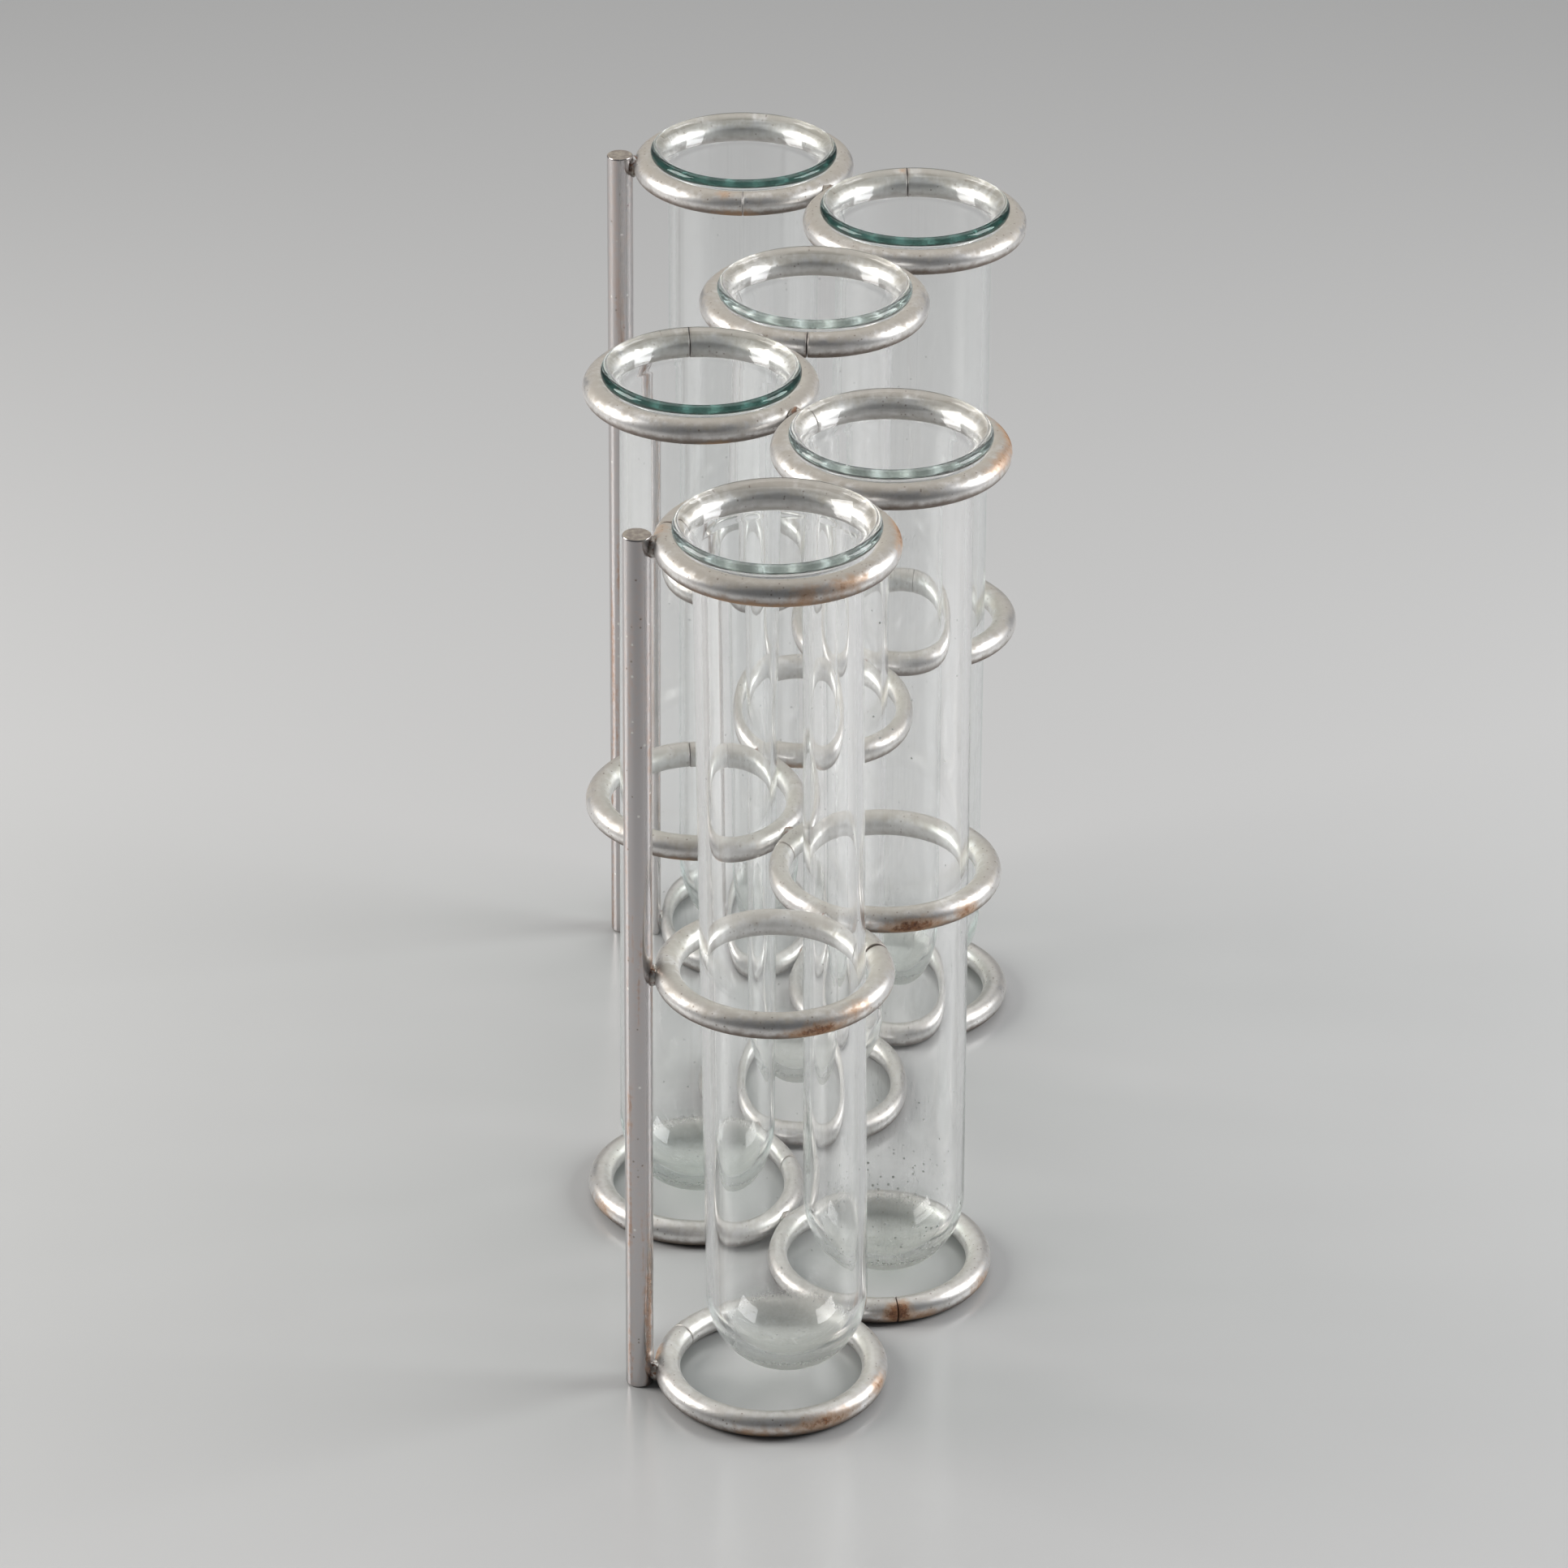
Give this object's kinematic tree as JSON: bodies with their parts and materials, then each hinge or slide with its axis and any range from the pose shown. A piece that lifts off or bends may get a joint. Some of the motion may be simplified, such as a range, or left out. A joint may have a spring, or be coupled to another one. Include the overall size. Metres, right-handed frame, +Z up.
{
  "type": "test tube rack",
  "caption": "Welded wire rack whose zigzag levels of rings stand on end rods, holding round-bottom glass test tubes that hang by their flared lips and lift out.",
  "frame": {"origin": "on the table, under the middle of the rack's outline", "axes": "+Z up, +Y along the row from tube 6 at the front to tube 1 at the back, +X to the right"},
  "size_m": [0.0712, 0.1824, 0.1506],
  "materials": {
    "ring_wire": "satin, worn",
    "rod_steel": "satin, worn",
    "weld": "rough",
    "glass": "clear"
  },
  "bodies": {
    "rack": {"top_ring_1": "ring_wire", "top_ring_2": "ring_wire", "top_ring_3": "ring_wire", "top_ring_4": "ring_wire", "top_ring_5": "ring_wire", "top_ring_6": "ring_wire", "middle_ring_1": "ring_wire", "middle_ring_2": "ring_wire", "middle_ring_3": "ring_wire", "middle_ring_4": "ring_wire", "middle_ring_5": "ring_wire", "middle_ring_6": "ring_wire", "bottom_ring_1": "ring_wire", "bottom_ring_2": "ring_wire", "bottom_ring_3": "ring_wire", "bottom_ring_4": "ring_wire", "bottom_ring_5": "ring_wire", "bottom_ring_6": "ring_wire", "front_rod": "rod_steel", "back_rod": "rod_steel", "top_ring_welds": "weld", "middle_ring_welds": "weld", "bottom_ring_welds": "weld", "rod_welds": "weld"},
    "tube_1": {"test_tube_1": "glass"},
    "tube_2": {"test_tube_2": "glass"},
    "tube_3": {"test_tube_3": "glass"},
    "tube_4": {"test_tube_4": "glass"},
    "tube_5": {"test_tube_5": "glass"},
    "tube_6": {"test_tube_6": "glass"}
  },
  "joints": [
    {"name": "tube_1_lift", "type": "slide", "parent": "rack", "child": "tube_1", "axis": [-0.0017, 0, 1], "range_m": [0, 0.15]},
    {"name": "tube_2_lift", "type": "slide", "parent": "rack", "child": "tube_2", "axis": [-0.0052, 0, 1], "range_m": [0, 0.15]},
    {"name": "tube_3_lift", "type": "slide", "parent": "rack", "child": "tube_3", "axis": [0.0017, 0, 1], "range_m": [0, 0.15]},
    {"name": "tube_4_lift", "type": "slide", "parent": "rack", "child": "tube_4", "axis": [0.0035, 0, 1], "range_m": [0, 0.15]},
    {"name": "tube_5_lift", "type": "slide", "parent": "rack", "child": "tube_5", "axis": [-0.0087, 0, 1], "range_m": [0, 0.15]},
    {"name": "tube_6_lift", "type": "slide", "parent": "rack", "child": "tube_6", "axis": [-0.0183, 0, 0.9998], "range_m": [0, 0.15]}
  ]
}
